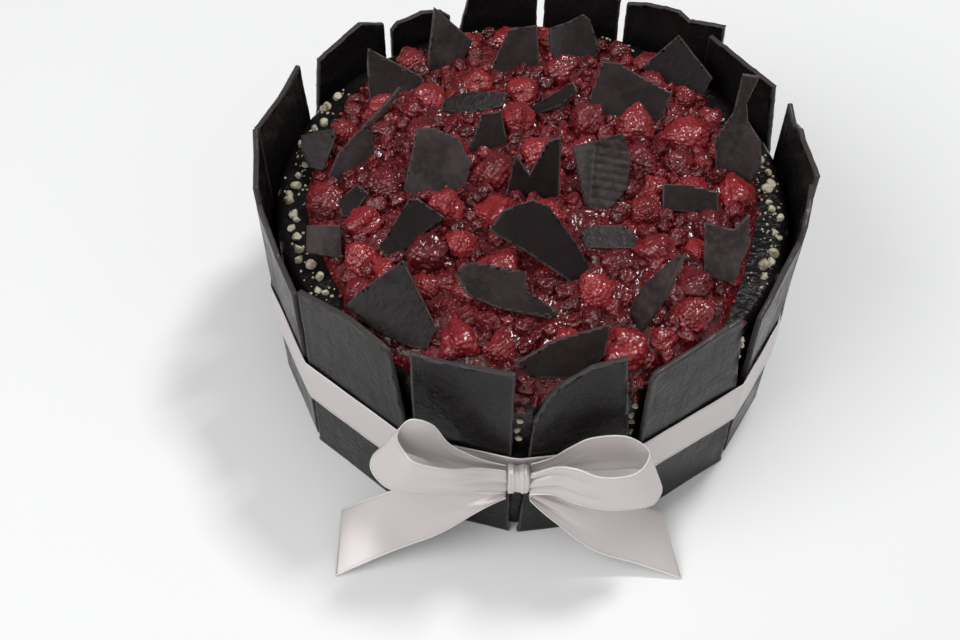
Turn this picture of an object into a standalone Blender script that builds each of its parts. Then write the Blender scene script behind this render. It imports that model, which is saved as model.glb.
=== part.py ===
"""Black forest cake: a dark glazed cake walled with chocolate panels, heaped with raspberries and
chocolate shards, and tied with a satin ribbon.

Metres, +Z up. The origin is the centre of the cake's flat base. Turns round the cake are in degrees
from the front (-Y) towards the right (+X).
"""

import math
import random

import bpy
import bmesh
from mathutils import Matrix, Vector, noise

MM = 0.001

# The cake itself.
CAKE_RADIUS = 110 * MM
CAKE_HEIGHT = 90 * MM
CAKE_EDGE = 4 * MM
CAKE_SIDES = 60
GAP = 0.3 * MM

# The upright panels of chocolate round it.
PANEL_THICK = 2.4 * MM
PANEL_BEVEL = 0.5 * MM

# The fruit on top.
FRUIT_RADIUS = 100 * MM
FRUIT_SIDES = 40
FRUIT_WAVE = 2.5 * MM
FRUIT_RISE = 7.5 * MM
FRUIT_LUMP = 1.6 * MM
FRUIT_THIN_RIM = 1.2 * MM
FRONT_EDGE = 106.5 * MM
BARE_SIDES = 3.5 * MM
BERRY_SIT = 3.5 * MM
BERRY_COUNT = 84
BERRY_TRIES = 4000
BERRY_SEED = 11
BERRY_SIZES = (12, 22)
BERRY_LEANS = (0.5, 2.0)
BERRY_NEARNESS = 0.46

# The broken shards stuck in the fruit.
SHARD_THICK = 2.2 * MM
SHARD_BEVEL = 0.4 * MM
SHARD_STRIP = 6 * MM
SHARD_ROOM = 0.4 * MM
SHARD_BURIED = 3 * MM

# The chopped nuts: on the bare rim, as the turns they lie between and how many; and on the wall in the
# wider gaps between panels, as the gap's turn, how many, and the heights they stick between, in mm.
NUT_SEED = 5
NUT_RADII = (1.5, 2.5)
NUT_REACH = (100, 106)
RIM_NUTS = [((-125, -54), 23), ((62, 118), 18), ((135, 200), 4)]
WALL_NUT_RADII = (1.2, 1.7)
WALL_NUTS = [(-3.4, 3, (62, 84)), (20.4, 4, (60, 84)), (49.5, 5, (58, 86))]

# The satin ribbon.
RIBBON_WIDTH = 25 * MM
RIBBON_THICK = 0.6 * MM
RIBBON_HEIGHT = 45 * MM
RIBBON_RISE = 3.5 * MM
KNOT_PLACE = Vector((-6, -120, 53.5)) * MM
KNOT_SIZE = Vector((8.5, 7.8, 17)) * MM
KNOT_BEVEL = 2.2 * MM

# Each length of ribbon in the bow, in mm: points along its lower edge, and beside each the point on its
# upper edge. They begin at the knot; a loop also ends there.
BOW_STEPS = 3
BOW_RIBBONS = {
    "bow_loop_left": [
        ((-10.8, -122.5, 47), (-10.8, -121.5, 60)),
        ((-23, -124.5, 49), (-22, -121.5, 63)),
        ((-35, -125, 49), (-33, -125.5, 68.5)),
        ((-48, -125, 49.5), (-46, -126, 74.5)),
        ((-58.7, -124, 52.5), (-50.5, -122.3, 77.5)),
        ((-64.5, -120.5, 62), (-52.8, -119.5, 84)),
        ((-60, -117.2, 70), (-48, -117.2, 91.5)),
        ((-46.5, -116.9, 65), (-39.5, -117, 88)),
        ((-35, -116.8, 54), (-33, -117, 74)),
        ((-23.5, -116.8, 49), (-22.5, -117, 65)),
        ((-10.8, -117.4, 48), (-10.8, -117.4, 60.5)),
    ],
    "bow_loop_right": [
        ((-1.2, -122.5, 47), (-1.2, -121.5, 60)),
        ((8.5, -124, 49), (8, -122.5, 67)),
        ((17, -126, 45.5), (15.5, -125, 70)),
        ((29.5, -128.5, 44), (25.5, -128, 69)),
        ((39.5, -128, 44.5), (36.5, -127.3, 69.3)),
        ((48.3, -126.3, 46), (42.5, -123.8, 70.5)),
        ((51.2, -121, 51), (43.8, -119.3, 75)),
        ((43, -117, 57), (35, -117, 80.5)),
        ((27, -116.9, 55.5), (22, -117, 79.5)),
        ((15.5, -116.8, 53), (14, -117, 73)),
        ((7, -116.8, 49), (6.5, -117, 64.5)),
        ((-1.2, -117.4, 48), (-1.2, -117.4, 60.5)),
    ],
    "bow_tail_left": [
        ((-10.9, -122.5, 41.5), (-10.9, -119.5, 46.5)),
        ((-21.6, -123.5, 32.5), (-24, -118.5, 45.5)),
        ((-39.5, -127.5, 20), (-44, -113.8, 40)),
        ((-58.8, -130.4, 10), (-62.5, -112, 27)),
        ((-81.4, -136.7, 0.8), (-80, -109.5, 10)),
    ],
    "bow_tail_right": [
        ((-1.1, -122.5, 41.5), (-1.1, -119.5, 46.5)),
        ((9.7, -126, 29.5), (12, -118, 43.5)),
        ((26.2, -130.4, 14), (30, -114.2, 32.5)),
        ((46.2, -132.7, 6), (46, -111.3, 18.5)),
        ((63.9, -136.2, 0.8), (56.7, -109.6, 10)),
    ],
}

# Each panel: start and end turn in degrees; its broken outline from left to right, as seen from
# outside, as (share of the width, height in mm); how far it leans out at the top in degrees; and how
# far its left and right ends stand off the wall, in mm, where one panel laps the next.
PANELS = {
    "panel_front_left": ((-25.2, -4.2), [(0, 115), (0.22, 114), (1, 116)], 0.0, (0, 0)),
    "panel_front_right": (
        (-2.6, 19.4),
        [(0, 0), (0.06, 57), (0.09, 85), (0.2, 100), (0.31, 108), (0.56, 117), (0.88, 121), (1, 66)],
        0.0,
        (0, 0),
    ),
    "panel_right_1": ((21.4, 48.4), [(0, 104), (0.04, 107), (0.84, 110), (1, 40)], 0.0, (0, 0)),
    "panel_right_2": ((50.6, 68.4), [(0, 98), (0.3, 100), (0.7, 107), (1, 110)], 0.5, (0, 0)),
    "panel_right_3": ((69.6, 81.4), [(0, 115), (0.6, 118), (1, 117)], 1.0, (0, 0)),
    "panel_right_4": (
        (82.6, 107.4),
        [(0, 118), (0.12, 118), (0.5, 115), (0.62, 116), (0.8, 111), (1, 113)],
        1.0,
        (0, 0),
    ),
    "panel_back_1": ((108.4, 135.0), [(0, 70), (0.13, 115), (0.7, 112), (1, 110)], 0.0, (0, 0)),
    "panel_back_2": (
        (132.8, 157.0),
        [(0, 115), (0.36, 111), (0.46, 114), (0.8, 112), (1, 108)],
        0.0,
        (5.6, 0),
    ),
    "panel_back_3": ((158.0, 176.8), [(0, 109), (0.3, 114), (0.8, 117), (1, 113)], 0.5, (0, 0)),
    "panel_back_4": ((177.9, 198.0), [(0, 112), (0.5, 115), (0.85, 109), (1, 80)], 0.5, (0, 0)),
    "panel_back_5": (
        (199.4, 215.4),
        [(0, 98), (0.15, 103), (0.45, 106), (0.9, 104), (1, 101)],
        0.0,
        (0, 0),
    ),
    "panel_back_6": ((216.2, 240.0), [(0, 105), (0.3, 114), (0.88, 109), (1, 70)], 0.5, (0, 0)),
    "panel_left_1": ((241.0, 266.2), [(0, 70), (0.07, 115), (0.5, 115), (1, 120)], 1.0, (0, 0)),
    "panel_left_2": ((267.2, 282.2), [(0, 123), (0.4, 119), (1, 118)], 1.5, (0, 0)),
    "panel_left_3": ((283.4, 304.6), [(0, 112), (0.5, 101), (1, 101)], 1.0, (0, 0)),
    "panel_left_4": ((306.0, 333.6), [(0, 107), (0.45, 113), (0.9, 111), (1, 70)], 0.0, (0, 0)),
}

# Each shard: where its foot meets the fruit, as x, y and height in mm; the turn that its face looks
# to and its tilt from lying flat, in degrees; its width and height in mm; its corners, as shares of
# the width from the left and of the height from the foot; and how far its middle is bowed, in mm.
SHARDS = {
    "shard_01": (
        (-35, 70, 94), (20, 58), (24, 35),
        [(0.35, 1), (1, 0.45), (0.65, 0.2), (0.35, 0), (0, 0.15), (0.05, 0.4)],
        0,
    ),
    "shard_02": ((-8, 65, 96), (5, 42), (25, 27), [(0.45, 0.95), (1, 1), (1, 0), (0.1, 0), (0, 0.15)], 0),
    "shard_03": (
        (20, 75, 96), (0, 42), (24, 26),
        [(0, 0.75), (0.35, 0.85), (0.65, 1), (0.8, 0.9), (1, 0.35), (0.7, 0), (0, 0)],
        1.5,
    ),
    "shard_04": (
        (-60, 50, 95), (10, 42), (26, 29),
        [(0.1, 1), (1, 0.45), (0.95, 0), (0, 0), (0.05, 0.75)],
        0,
    ),
    "shard_05": (
        (-75, 7, 97), (35, 38), (28, 18),
        [(0.8, 1), (1, 0.85), (0.75, 0), (0.1, 0), (0, 0.3), (0.3, 0.7)],
        1,
    ),
    "shard_06": (
        (-95, 10, 98), (-20, 30), (17, 20),
        [(0, 0.65), (0.85, 1), (0.95, 0.6), (0.9, 0), (0.5, 0), (0.15, 0.3)],
        0,
    ),
    "shard_07": (
        (-40, -10, 98), (5, 32), (30, 33),
        [(0.25, 1), (0.5, 1), (0.85, 0.85), (1, 0.5), (0.9, 0.2), (0.65, 0), (0.25, 0), (0, 0.2)],
        0,
    ),
    "shard_08": ((-20, 15, 97), (10, 45), (22, 22), [(0.5, 1), (0.9, 1), (1, 0), (0, 0)], 0),
    "shard_09": (
        (-25, 40, 101), (5, 14), (31, 12),
        [(0.05, 0.75), (0.45, 1), (1, 0.85), (0.9, 0.25), (0.4, 0), (0, 0.2)],
        0,
    ),
    "shard_10": (
        (5, 35, 100), (-30, 28), (18, 24),
        [(0, 0.2), (0.75, 1), (1, 0.85), (0.75, 0.45), (0.1, 0)],
        0,
    ),
    "shard_11": (
        (42, 35, 98), (-5, 34), (38, 30),
        [(0.15, 1), (0.35, 1), (0.65, 0.8), (1, 0.6), (0.85, 0), (0.05, 0), (0, 0.3)],
        0,
    ),
    "shard_12": ((65, 60, 96), (-15, 50), (32, 27), [(0.4, 1), (1, 0.4), (0.9, 0), (0.1, 0), (0, 0.4)], 0),
    "shard_13": (
        (25, -15, 98), (-10, 46), (26, 36),
        [(0, 0.75), (0.35, 0.85), (0.8, 1), (1, 0.7), (1, 0.35), (0.7, 0), (0.35, 0.1)],
        2,
    ),
    "shard_14": (
        (-1, -12, 98), (0, 62), (24, 32),
        [(0.2, 0.8), (0.45, 0.5), (0.75, 0.95), (1, 1), (1, 0), (0, 0)],
        0,
    ),
    "shard_15": (
        (-65, 35, 101), (39, 55), (27, 12),
        [(0, 0), (0.05, 0.3), (0.5, 0.6), (0.95, 1), (1, 0.8), (0.55, 0.35), (0.1, 0)],
        0,
    ),
    "shard_16": (
        (5, -55, 99), (15, 34), (40, 36),
        [(0, 0.75), (0.2, 0.95), (0.5, 1), (0.65, 0.9), (0.85, 0.45), (1, 0), (0.7, 0), (0.3, 0.45)],
        2.5,
    ),
    "shard_17": (
        (30, -37, 101), (0, 16), (24, 11),
        [(0, 0.75), (0.3, 1), (0.75, 1), (1, 0.6), (0.95, 0), (0.1, 0)],
        0,
    ),
    "shard_18": ((65, -17, 100), (0, 34), (24, 14), [(0, 1), (0.5, 0.95), (1, 0.75), (1, 0), (0, 0.15)], 0),
    "shard_19": (
        (85, 2, 97), (-12, 60), (22, 49),
        [
            (0.3, 1), (0.65, 1), (0.5, 0.75), (0.6, 0.6), (0.9, 0.45),
            (1, 0.25), (0.8, 0), (0.2, 0), (0, 0.4), (0.25, 0.65),
        ],
        -1.5,
    ),
    "shard_20": (
        (75, -50, 98), (-10, 46), (20, 29),
        [(0, 0.8), (0.6, 0.75), (0.85, 1), (1, 0.6), (0.8, 0), (0.15, 0)],
        0,
    ),
    "shard_21": (
        (40, -75, 98), (-60, 70), (13, 44),
        [(0.7, 0.95), (0.9, 1), (1, 0.5), (0.85, 0), (0.15, 0), (0, 0.2), (0.1, 0.45)],
        1,
    ),
    "shard_22": (
        (-10, -76, 101), (10, 22), (39, 28),
        [(0, 0.85), (0.2, 1), (0.75, 0.75), (0.7, 0.5), (1, 0.1), (0.9, 0), (0.4, 0.25), (0.1, 0.5)],
        0,
    ),
    "shard_23": (
        (-50, -42, 99), (0, 30), (28, 26),
        [(0.45, 1), (0.6, 1), (1, 0.7), (0.7, 0.45), (0.35, 0), (0.15, 0), (0, 0.2)],
        0,
    ),
    "shard_24": (
        (-58, -82, 98), (-15, 36), (38, 33),
        [(0.5, 1), (1, 0.3), (0.95, 0), (0.7, 0), (0.35, 0.1), (0, 0.3), (0.1, 0.5)],
        0,
    ),
    "shard_25": (
        (10, -98, 97), (0, 50), (36, 22),
        [(0, 0.3), (0.4, 0.7), (1, 1), (0.95, 0.4), (0.65, 0), (0.15, 0)],
        0,
    ),
    "shard_26": ((-86, -40, 99), (-10, 36), (17, 14), [(0, 0.85), (0.85, 1), (1, 0), (0.1, 0)], 1),
    "shard_27": (
        (-75, -20, 100), (0, 26), (14, 15),
        [(0, 0.5), (0.6, 1), (1, 0.7), (0.5, 0), (0.15, 0)],
        0,
    ),
}


def clear_scene():
    for obj in list(bpy.data.objects):
        bpy.data.objects.remove(obj)


def collection(name, shown=True):
    made = bpy.data.collections.new(name)
    made.hide_render = not shown
    bpy.context.scene.collection.children.link(made)
    return made


def material(name, colour, roughness, metallic=0.0):
    made = bpy.data.materials.new(name)
    made.use_nodes = True
    shader = made.node_tree.nodes["Principled BSDF"]
    shader.inputs["Base Color"].default_value = (*colour, 1)
    shader.inputs["Roughness"].default_value = roughness
    shader.inputs["Metallic"].default_value = metallic
    return made


def placed(name, bm, group, finish):
    """A mesh object made from bm, with its faces turned out and its round stretches smooth."""
    bm.normal_update()
    bmesh.ops.recalc_face_normals(bm, faces=bm.faces)
    mesh = bpy.data.meshes.new(name)
    bm.to_mesh(mesh)
    bm.free()
    mesh.materials.append(finish)
    mesh.shade_smooth()
    mesh.set_sharp_from_angle(angle=math.radians(35))
    obj = bpy.data.objects.new(name, mesh)
    group.objects.link(obj)
    return obj


def apply_modifiers(obj):
    """The object's mesh becomes what its modifiers make of it."""
    graph = bpy.context.evaluated_depsgraph_get()
    made = bpy.data.meshes.new_from_object(obj.evaluated_get(graph))
    obj.modifiers.clear()
    obj.data = made


def combine(obj, operand, operation, solver="EXACT"):
    """One Boolean of obj with a whole collection, applied; the collection's objects are then removed."""
    step = obj.modifiers.new(operation.title(), "BOOLEAN")
    step.operation = operation
    step.solver = solver
    step.operand_type = "COLLECTION"
    step.collection = operand
    apply_modifiers(obj)
    for used in list(operand.objects):
        bpy.data.objects.remove(used)


def around(turn, radius, height=0.0):
    """A point at this turn round the cake, in degrees from the front."""
    angle = math.radians(turn)
    return Vector((radius * math.sin(angle), -radius * math.cos(angle), height))


def turn_of(x, y):
    return math.degrees(math.atan2(x, -y))


def make_cake(group, finish):
    """The glazed cake: one turned solid with a soft upper edge."""
    profile = [(0, CAKE_HEIGHT)]
    corner = CAKE_RADIUS - CAKE_EDGE
    for step in range(3):
        angle = math.radians(90 - 45 * step)
        profile.append((corner + CAKE_EDGE * math.cos(angle), CAKE_HEIGHT - CAKE_EDGE * (1 - math.sin(angle))))
    profile += [(CAKE_RADIUS, 0), (0, 0)]
    bm = bmesh.new()
    points = [bm.verts.new((x, 0, z)) for x, z in profile]
    for first, second in zip(points, points[1:]):
        bm.edges.new((first, second))
    mesh = bpy.data.meshes.new("cake")
    bm.to_mesh(mesh)
    bm.free()
    mesh.materials.append(finish)
    cake = bpy.data.objects.new("cake", mesh)
    group.objects.link(cake)
    screw = cake.modifiers.new("Turn", "SCREW")
    screw.steps = CAKE_SIDES
    screw.render_steps = CAKE_SIDES
    screw.use_merge_vertices = True
    screw.merge_threshold = 0.00001
    apply_modifiers(cake)
    cake.data.shade_smooth()
    cake.data.set_sharp_from_angle(angle=math.radians(35))
    return cake


def nut_places():
    """(place, radius) of the nut pieces: on the bare rim of the top, and on the wall in the wider gaps."""
    draw = random.Random(NUT_SEED)
    for (start, end), count in RIM_NUTS:
        for index in range(count):
            turn = start + (end - start) * (index + draw.uniform(0.15, 0.85)) / count
            radius = draw.uniform(*NUT_RADII) * MM
            inner = fruit_edge(turn) + radius + 2 * GAP
            reach = max(inner, draw.uniform(*NUT_REACH) * MM)
            yield around(turn, reach, CAKE_HEIGHT + 0.3 * radius), radius
    for turn, count, (low, high) in WALL_NUTS:
        for index in range(count):
            height = low + (high - low) * (index + draw.uniform(0.2, 0.8)) / count
            radius = draw.uniform(*WALL_NUT_RADII) * MM
            yield around(turn + draw.uniform(-0.3, 0.3), CAKE_RADIUS - 0.2 * radius, height * MM), radius


def add_nuts(cake, berries, finish):
    """Chopped nut pieces fused to the cake, clear of the berries."""
    loose = collection("nut_pieces")
    draw = random.Random(NUT_SEED + 1)
    for index, (place, radius) in enumerate(nut_places()):
        if any((place - berry).length < radius + 0.58 * width + GAP for berry, _, width in berries):
            continue
        bm = bmesh.new()
        bmesh.ops.create_icosphere(bm, subdivisions=1, radius=radius)
        shape = Matrix.Diagonal((1.0, draw.uniform(0.65, 0.95), draw.uniform(0.6, 0.85), 1.0))
        turned = Matrix.Rotation(draw.uniform(0, math.tau), 4, "Z")
        bm.transform(Matrix.Translation(place) @ turned @ shape)
        placed(f"nut_{index}", bm, loose, finish)
    combine(cake, loose, "UNION")
    bpy.data.collections.remove(loose)


def flat_piece(name, outline, thick):
    """A bmesh of a flat piece: its outline, in mm, as a filled curve of this thickness."""
    curve = bpy.data.curves.new(name, "CURVE")
    curve.dimensions = "2D"
    curve.fill_mode = "BOTH"
    curve.extrude = thick / 2
    spline = curve.splines.new("POLY")
    spline.points.add(len(outline) - 1)
    for point, (x, y) in zip(spline.points, outline):
        point.co = (x * MM, y * MM, 0, 1)
    spline.use_cyclic_u = True
    drawn = bpy.data.objects.new(name, curve)
    mesh = bpy.data.meshes.new_from_object(drawn)
    bm = bmesh.new()
    bm.from_mesh(mesh)
    bmesh.ops.remove_doubles(bm, verts=bm.verts[:], dist=0.00001)
    bpy.data.objects.remove(drawn)
    bpy.data.meshes.remove(mesh)
    return bm


def bowed(bm, rise, size):
    """Cuts a flat piece into strips along its Y, and bows them so that its middle rises."""
    half = max(abs(vertex.co.x) for vertex in bm.verts)
    count = int(half / size)
    for index in range(-count, count + 1):
        parts = bm.verts[:] + bm.edges[:] + bm.faces[:]
        bmesh.ops.bisect_plane(bm, geom=parts, dist=0.0002, plane_co=(index * size, 0, 0), plane_no=(1, 0, 0))
    for vertex in bm.verts:
        vertex.co.z += rise * (1 - (vertex.co.x / half) ** 2)


def slab(name, outline, thick, place, group, finish, bow=0.0, bevel=0.0):
    """A broken piece of chocolate: its outline, in mm, given its thickness, its bow and its place."""
    bm = flat_piece(name, outline, thick)
    if bow:
        bowed(bm, bow * MM, SHARD_STRIP)
    obj = placed(name, bm, group, finish)
    if bevel:
        edge = obj.modifiers.new("Soft edge", "BEVEL")
        edge.width = bevel
        edge.segments = 1
        edge.limit_method = "ANGLE"
        edge.angle_limit = math.radians(50)
    obj.matrix_world = place
    return obj


def grown(outline, room):
    """The outline with its corners moved out by this much, in mm."""
    middle = sum((Vector(point) for point in outline), Vector((0, 0))) / len(outline)
    return [tuple(Vector(point) + (Vector(point) - middle).normalized() * room) for point in outline]


def panel_frame(turns, lean, stand_off):
    """Where a panel stands: its width, and the matrix from its own X (right), Y (up) and Z (out)."""
    start, end = turns
    half = math.radians(end - start) / 2
    reach = (CAKE_RADIUS + GAP + PANEL_THICK) / math.cos(half)
    left = around(start, reach + stand_off[0] * MM)
    right = around(end, reach + stand_off[1] * MM)
    across = right - left
    width = across.length
    across.normalize()
    out = Vector((across.y, -across.x, 0))
    tilt = math.radians(lean)
    up = Vector((0, 0, 1)) * math.cos(tilt) + out * math.sin(tilt)
    face = across.cross(up)
    centre = (left + right) / 2 - out * PANEL_THICK / 2
    centre.z = PANEL_THICK / 2 * math.sin(tilt)
    frame = Matrix((across, up, face)).transposed().to_4x4()
    return width, Matrix.Translation(centre) @ frame


def panel_outline(width, edge):
    """A panel's outline in mm: its straight foot, then its broken edge from right to left."""
    wide = width / MM
    foot = [(-wide / 2, 0), (wide / 2, 0)]
    if edge[0][1] == 0:
        foot = [(wide / 2, 0)]
    return foot + [((share - 0.5) * wide, height) for share, height in reversed(edge)]


def make_panels(group, finish):
    for name, (turns, edge, lean, stand_off) in PANELS.items():
        width, place = panel_frame(turns, lean, stand_off)
        slab(name, panel_outline(width, edge), PANEL_THICK, place, group, finish, bevel=PANEL_BEVEL)


def shard_place(foot, facing):
    """The matrix from a shard's own X (right), Y (up its slope) and Z (out of its face)."""
    turn, tilt = (math.radians(angle) for angle in facing)
    face = Vector((math.sin(turn) * math.sin(tilt), -math.cos(turn) * math.sin(tilt), math.cos(tilt)))
    right = Vector((math.cos(turn), math.sin(turn), 0))
    frame = Matrix((right, face.cross(right), face)).transposed().to_4x4()
    return Matrix.Translation(Vector(foot) * MM) @ frame


def shard_outline(size, corners):
    """A shard's outline in mm, across and up its slope from the foot, below which a little is buried."""
    width, height = size
    return [((share - 0.5) * width, rise * height - SHARD_BURIED / MM) for share, rise in corners]


def make_shards(group, cutters, finish):
    for name, (foot, facing, size, corners, bow) in SHARDS.items():
        place = shard_place(foot, facing)
        outline = shard_outline(size, corners)
        slab(name, outline, SHARD_THICK, place, group, finish, bow=bow, bevel=SHARD_BEVEL)
        room = grown(outline, SHARD_ROOM / MM)
        slab(f"room_{name}", room, SHARD_THICK + 2 * SHARD_ROOM, place, cutters, finish, bow=bow)


def largest_body(obj):
    """Drops the loose scraps that a Boolean left, and keeps the largest body."""
    bm = bmesh.new()
    bm.from_mesh(obj.data)
    loose, bodies = set(bm.verts), []
    while loose:
        body, rim = set(), {loose.pop()}
        while rim:
            body |= rim
            rim = {edge.other_vert(vertex) for vertex in rim for edge in vertex.link_edges} - body
        loose -= body
        bodies.append(body)
    bodies.sort(key=len)
    bmesh.ops.delete(bm, geom=[vertex for body in bodies[:-1] for vertex in body], context="VERTS")
    bm.to_mesh(obj.data)
    bm.free()


def fruit_edge(turn):
    """How far out the fruit reaches here: less at both sides, and at the front almost to the panels."""
    angle = math.radians(turn)
    wave = FRUIT_WAVE * math.sin(5 * angle + 1) * math.cos(3 * angle)
    edge = FRUIT_RADIUS - BARE_SIDES * math.sin(angle) ** 2 + wave
    front = min(1.0, max(0.0, (math.cos(angle) - 0.6) / 0.17))
    return edge + (FRONT_EDGE - edge) * front


def fruit_level(x, y):
    """The height of the crushed fruit between the berries."""
    share = math.hypot(x, y) / fruit_edge(turn_of(x, y))
    lump = noise.noise(Vector((x, y, 0)) / (14 * MM))
    return CAKE_HEIGHT + GAP + FRUIT_RISE * max(0.0, 1 - share**8) + FRUIT_LUMP * lump * (1 - share**4)


def make_fruit_core(group, finish):
    """The bed of crushed fruit: a turned disc, worked into its uneven outline and level."""
    shares = [0.0, 0.15, 0.3, 0.45, 0.6, 0.75, 0.87, 0.95, 1.0]
    section = [(share, 1.0) for share in shares] + [(1.0, 0.0), (0.0, 0.0)]
    bm = bmesh.new()
    points = [bm.verts.new((share, 0, top)) for share, top in section]
    edges = [bm.edges.new(pair) for pair in zip(points, points[1:])]
    bmesh.ops.spin(bm, geom=points + edges, axis=(0, 0, 1), cent=(0, 0, 0), angle=math.tau, steps=FRUIT_SIDES)
    bmesh.ops.remove_doubles(bm, verts=bm.verts[:], dist=0.0001)
    for vertex in bm.verts:
        share, top = math.hypot(vertex.co.x, vertex.co.y), vertex.co.z
        reach = fruit_edge(turn_of(vertex.co.x, vertex.co.y)) if share else 0.0
        vertex.co.x *= reach
        vertex.co.y *= reach
        bottom = CAKE_HEIGHT + GAP
        level = max(fruit_level(vertex.co.x, vertex.co.y), bottom + FRUIT_THIN_RIM)
        vertex.co.z = level if top else bottom
    return placed("fruit", bm, group, finish)


def berry_mesh(width, place, turned):
    """A plain berry: a thimble shape with few sides."""
    bm = bmesh.new()
    bmesh.ops.create_uvsphere(bm, u_segments=7, v_segments=5, radius=1.0)
    for vertex in bm.verts:
        taper = 1 - 0.18 * (vertex.co.z + 1)
        vertex.co.x *= 1.14 * taper
        vertex.co.y *= 1.14 * taper
    bm.transform(Matrix.Translation(place) @ turned @ Matrix.Scale(width / 2, 4))
    return bm


def crossing(bm, room):
    """How far a berry has to move along a shard's face normal to be clear of it, or None if it is."""
    place, outline = room
    back = place.inverted()
    local = [back @ vertex.co for vertex in bm.verts]
    inside = [p.z for p in local if within(p.x / MM, p.y / MM, outline)]
    half = SHARD_THICK / 2 + SHARD_ROOM
    if not inside or min(inside) > half or max(inside) < -half:
        return None
    up, down = half - min(inside), max(inside) + half
    return place.to_3x3() @ Vector((0, 0, up if up < down else -down))


def within(x, y, outline):
    """Whether the point is inside the outline."""
    found = False
    for (x1, y1), (x2, y2) in zip(outline, outline[1:] + outline[:1]):
        if (y1 > y) != (y2 > y) and x < x1 + (y - y1) * (x2 - x1) / (y2 - y1):
            found = not found
    return found


def berry_plan():
    """x, y and width of every berry, in metres: the widest first, each where there is still room."""
    draw = random.Random(BERRY_SEED)
    narrow, wide = BERRY_SIZES
    plan = []
    for _ in range(BERRY_TRIES):
        if len(plan) >= BERRY_COUNT:
            break
        width = (wide - (wide - narrow) * len(plan) / BERRY_COUNT) * draw.uniform(0.94, 1.06) * MM
        turn, reach = draw.uniform(-180, 180), math.sqrt(draw.random())
        spot = around(turn, reach * (fruit_edge(turn) - 0.45 * width))
        nearest = [math.hypot(spot.x - x, spot.y - y) - BERRY_NEARNESS * (width + w) for x, y, w in plan]
        if min(nearest, default=1) > 0:
            plan.append((spot.x, spot.y, width))
    return plan


def clear_berry(start, turned, width, rooms):
    """The berry moved clear of the shards, or made a little smaller, as (place, width); else None."""
    place = start.copy()
    for _ in range(8):
        bm = berry_mesh(width, place, turned)
        moves = [move for move in (crossing(bm, room) for room in rooms) if move is not None]
        bm.free()
        if not moves:
            kept = -0.6 * width < place.z - start.z < 0.15 * width
            return (place, width) if kept else None
        place += moves[0]
        width *= 0.95
    return None


def berry_places():
    """(place, turned, width) of each berry that finds room between the shards."""
    draw = random.Random(BERRY_SEED + 1)
    rooms = [
        (shard_place(foot, facing), shard_outline(size, corners))
        for foot, facing, size, corners, _ in SHARDS.values()
    ]
    for x, y, width in berry_plan():
        heading = Matrix.Rotation(draw.uniform(0, math.tau), 4, "Z")
        turned = heading @ Matrix.Rotation(draw.uniform(*BERRY_LEANS), 4, "X")
        start = Vector((x, y, fruit_level(x, y) + BERRY_SIT))
        found = clear_berry(start, turned, width, rooms)
        if found and math.hypot(found[0].x, found[0].y) < CAKE_RADIUS - 0.55 * found[1] - 1.2 * MM:
            yield found[0], turned, found[1]


def make_fruit(group, cutters, places, finish):
    """The fruit: its bed with the berries fused on, cut back where the shards stand in it."""
    fruit = make_fruit_core(group, finish)
    berries = collection("berries")
    lowest = CAKE_HEIGHT + 2 * GAP
    for index, (place, turned, width) in enumerate(places):
        bm = berry_mesh(width, place, turned)
        for vertex in bm.verts:
            vertex.co.z = max(vertex.co.z, lowest)
        placed(f"berry_{index}", bm, berries, finish)
    combine(fruit, berries, "UNION")
    bpy.data.collections.remove(berries)
    combine(fruit, cutters, "DIFFERENCE")
    largest_body(fruit)
    return fruit


def hull(points):
    """The convex outline of these points, seen from above, turning left."""
    ordered = sorted({(round(p.x, 6), round(p.y, 6)) for p in points})

    def half(sequence):
        chain = []
        for x, y in sequence:
            while len(chain) > 1:
                (x1, y1), (x2, y2) = chain[-2:]
                if (x2 - x1) * (y - y1) - (y2 - y1) * (x - x1) > 0:
                    break
                chain.pop()
            chain.append((x, y))
        return chain[:-1]

    return [Vector((x, y, 0)) for x, y in half(ordered) + half(reversed(ordered))]


def ribbon_route():
    """The ribbon's way round the panels, stretched over their corners."""
    corners = []
    top = RIBBON_HEIGHT + RIBBON_WIDTH / 2
    for turns, _, lean, stand_off in PANELS.values():
        width, place = panel_frame(turns, lean, stand_off)
        for side in (-0.5, 0.5):
            corners.append(place @ Vector((side * width, top, PANEL_THICK / 2)))
    route = hull(corners)
    stretched = []
    for before, point, after in zip(route[-1:] + route[:-1], route, route[1:] + route[:1]):
        first, second = (point - before).normalized(), (after - point).normalized()
        out_first, out_second = Vector((first.y, -first.x, 0)), Vector((second.y, -second.x, 0))
        out = (out_first + out_second).normalized()
        stretched.append((point, out / max(0.5, out.dot(out_first))))
    return stretched


def ribbon_strip(name, rows, group, finish):
    """A ribbon laid through these rows, each the points of its lower and its upper edge."""
    bm = bmesh.new()
    count = len(rows) - 1
    bmesh.ops.create_grid(bm, x_segments=count, y_segments=1, size=1.0)
    for vertex in bm.verts:
        low, high = rows[round((vertex.co.x + 1) / 2 * count)]
        vertex.co = high if vertex.co.y > 0 else low
    bmesh.ops.remove_doubles(bm, verts=bm.verts[:], dist=0.00001)
    strip = placed(name, bm, group, finish)
    thickness = strip.modifiers.new("Thickness", "SOLIDIFY")
    thickness.thickness = RIBBON_THICK
    thickness.offset = 0
    thickness.use_even_offset = True
    return strip


def make_ribbon_band(group, finish):
    """The ribbon round the cake, a little clear of the panels' corners, and higher at the bow."""
    rows = []
    for point, out in ribbon_route():
        place = point + out * (GAP + RIBBON_THICK / 2)
        middle = RIBBON_HEIGHT - RIBBON_RISE * place.y / place.length
        rows.append([place + Vector((0, 0, middle + side * RIBBON_WIDTH / 2)) for side in (-1, 1)])
    ribbon_strip("ribbon_band", rows + rows[:1], group, finish)


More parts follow.
